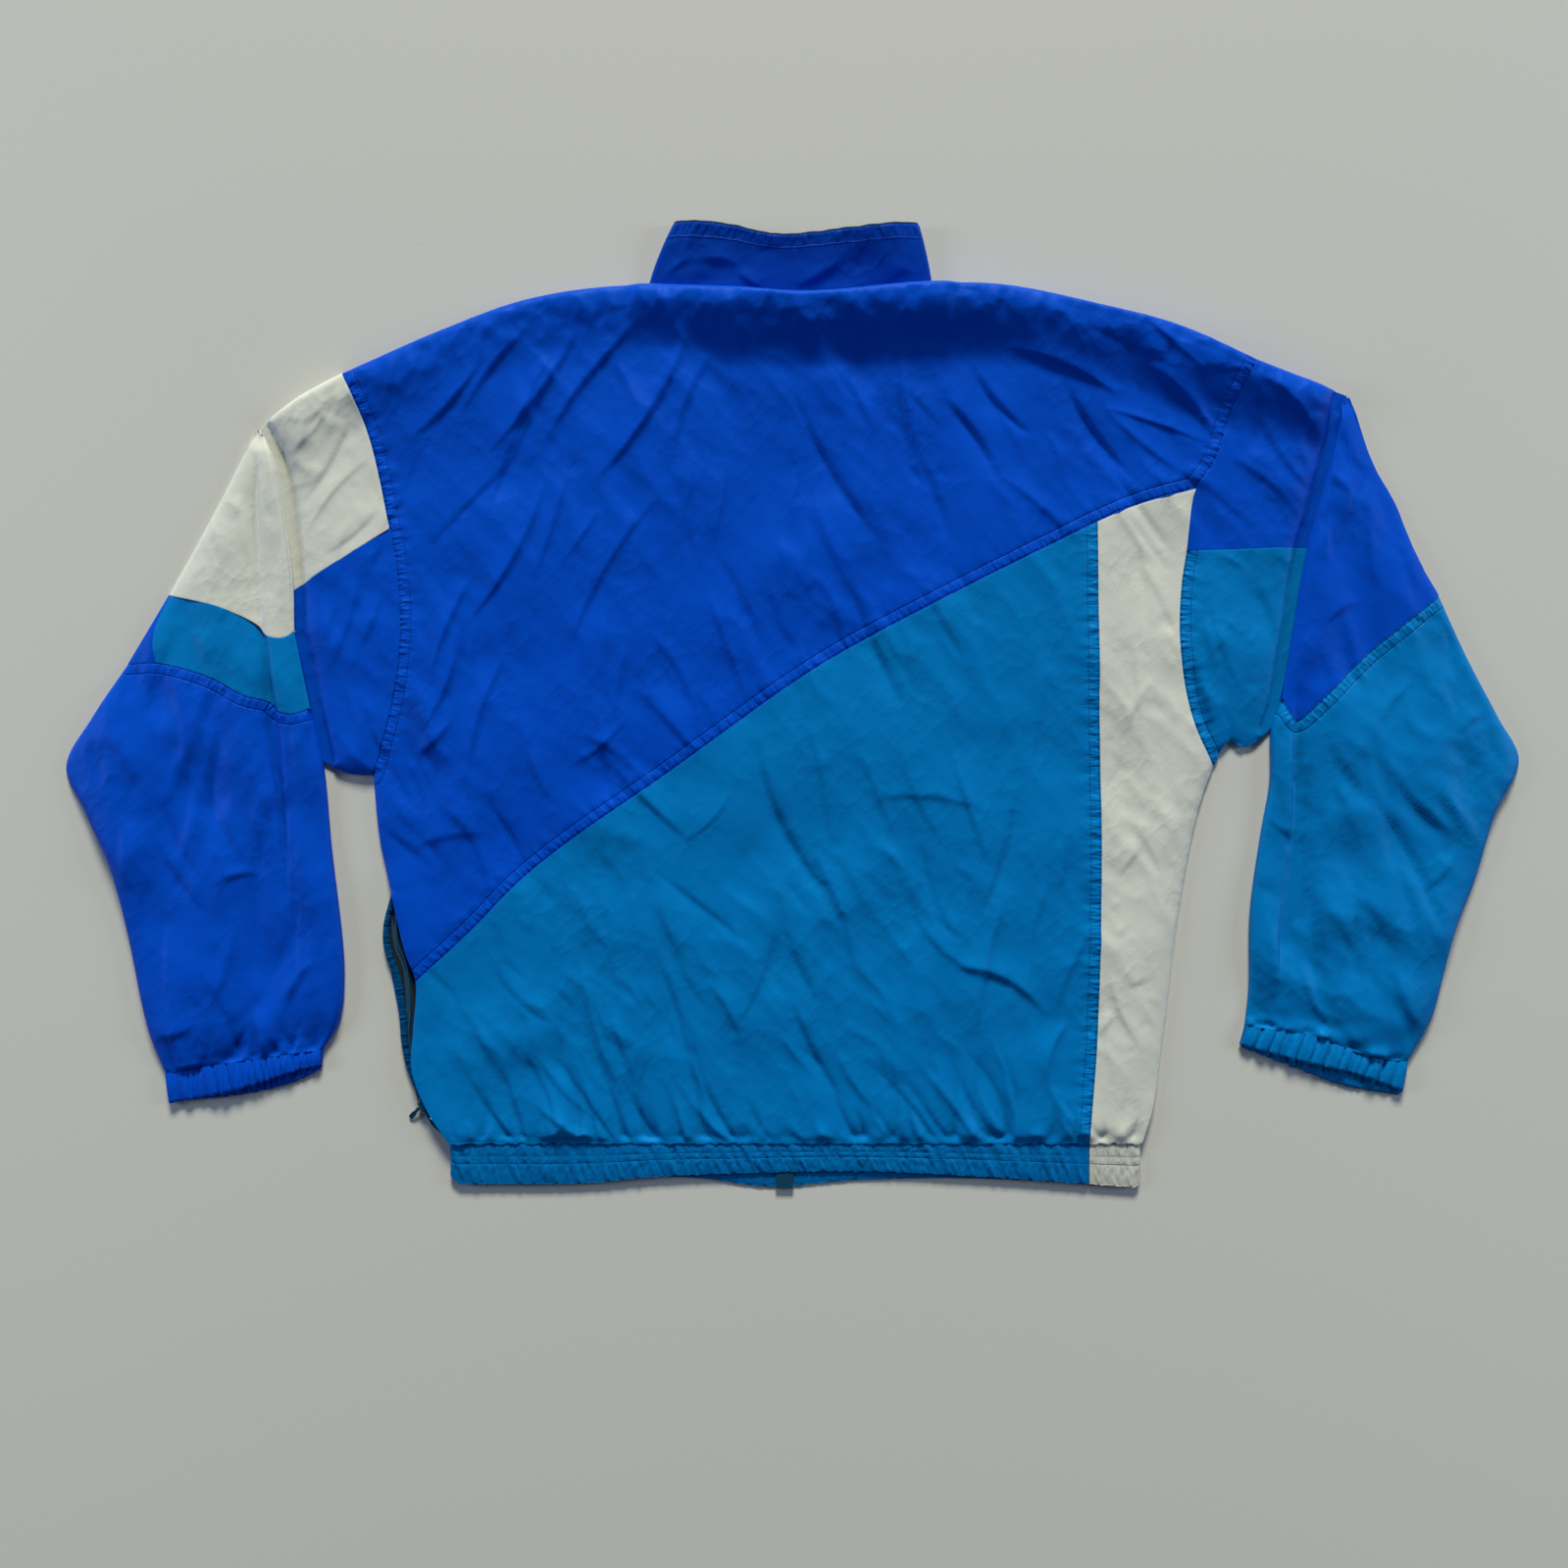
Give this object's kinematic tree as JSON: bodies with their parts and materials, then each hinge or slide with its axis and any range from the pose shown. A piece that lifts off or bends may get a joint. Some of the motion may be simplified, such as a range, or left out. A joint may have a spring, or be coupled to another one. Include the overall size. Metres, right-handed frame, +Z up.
{
  "type": "windbreaker jacket laid flat",
  "caption": "Colour-blocked shell windbreaker laid flat on its front: stand collar, pleated set-in sleeves, elastic cuffs and hem band, front zip and an open side pocket.",
  "frame": {"origin": "middle of the bounding box's base, on the surface that the jacket lies on", "axes": "+X from the wearer's left to the right, +Y from the hem to the collar, +Z up from the surface through the front and out of the back"},
  "size_m": [1.097, 0.7286, 0.0255],
  "materials": {
    "royal_nylon": "satin",
    "teal_nylon": "satin",
    "white_nylon": "satin",
    "elastic_royal": "satin",
    "elastic_teal": "satin",
    "elastic_white": "satin",
    "zip_tape": "matte",
    "pocket_lining": "matte",
    "zip_moulding": "satin"
  },
  "bodies": {
    "jacket": {"back_upper": "royal_nylon", "back_lower": "teal_nylon", "back_side_panel": "white_nylon", "front_left": "teal_nylon", "front_right": "teal_nylon", "sleeve_left_cap": "white_nylon", "sleeve_left_underarm": "royal_nylon", "sleeve_left_front": "royal_nylon", "sleeve_left_stripe": "teal_nylon", "sleeve_right_cap": "royal_nylon", "sleeve_right_underarm": "teal_nylon", "sleeve_right_front": "royal_nylon", "sleeve_left_lower": "royal_nylon", "sleeve_left_cuff": "elastic_royal", "sleeve_right_lower": "teal_nylon", "sleeve_right_cuff": "elastic_teal", "hem_band_left_and_back": "elastic_teal", "hem_band_side": "elastic_white", "hem_band_front_right": "elastic_teal", "collar": "royal_nylon", "front_zip_tape_left": "zip_tape", "front_zip_tape_right": "zip_tape", "front_zip_chain": "zip_moulding", "front_zip_slider": "zip_moulding", "front_zip_bottom_box": "zip_moulding", "pocket_zip_tape_front": "zip_tape", "pocket_bag": "pocket_lining", "pocket_zip_tape_back": "zip_tape", "pocket_slider": "zip_moulding"},
    "front_tab": {"front_zip_tab": "zip_moulding"},
    "pocket_tab": {"pocket_pull_tab": "zip_moulding"}
  },
  "joints": [
    {"name": "front_tab_hinge", "type": "hinge", "parent": "jacket", "child": "front_tab", "pos_m": [-0.00653, 0.30004, 0.0005], "axis": [1, 0, 0], "range_deg": [0, 150]},
    {"name": "pocket_tab_hinge", "type": "hinge", "parent": "jacket", "child": "pocket_tab", "pos_m": [-0.28356, -0.30358, 0.0042], "axis": [-0.7431, 0.6691, 0], "range_deg": [0, 110]}
  ]
}
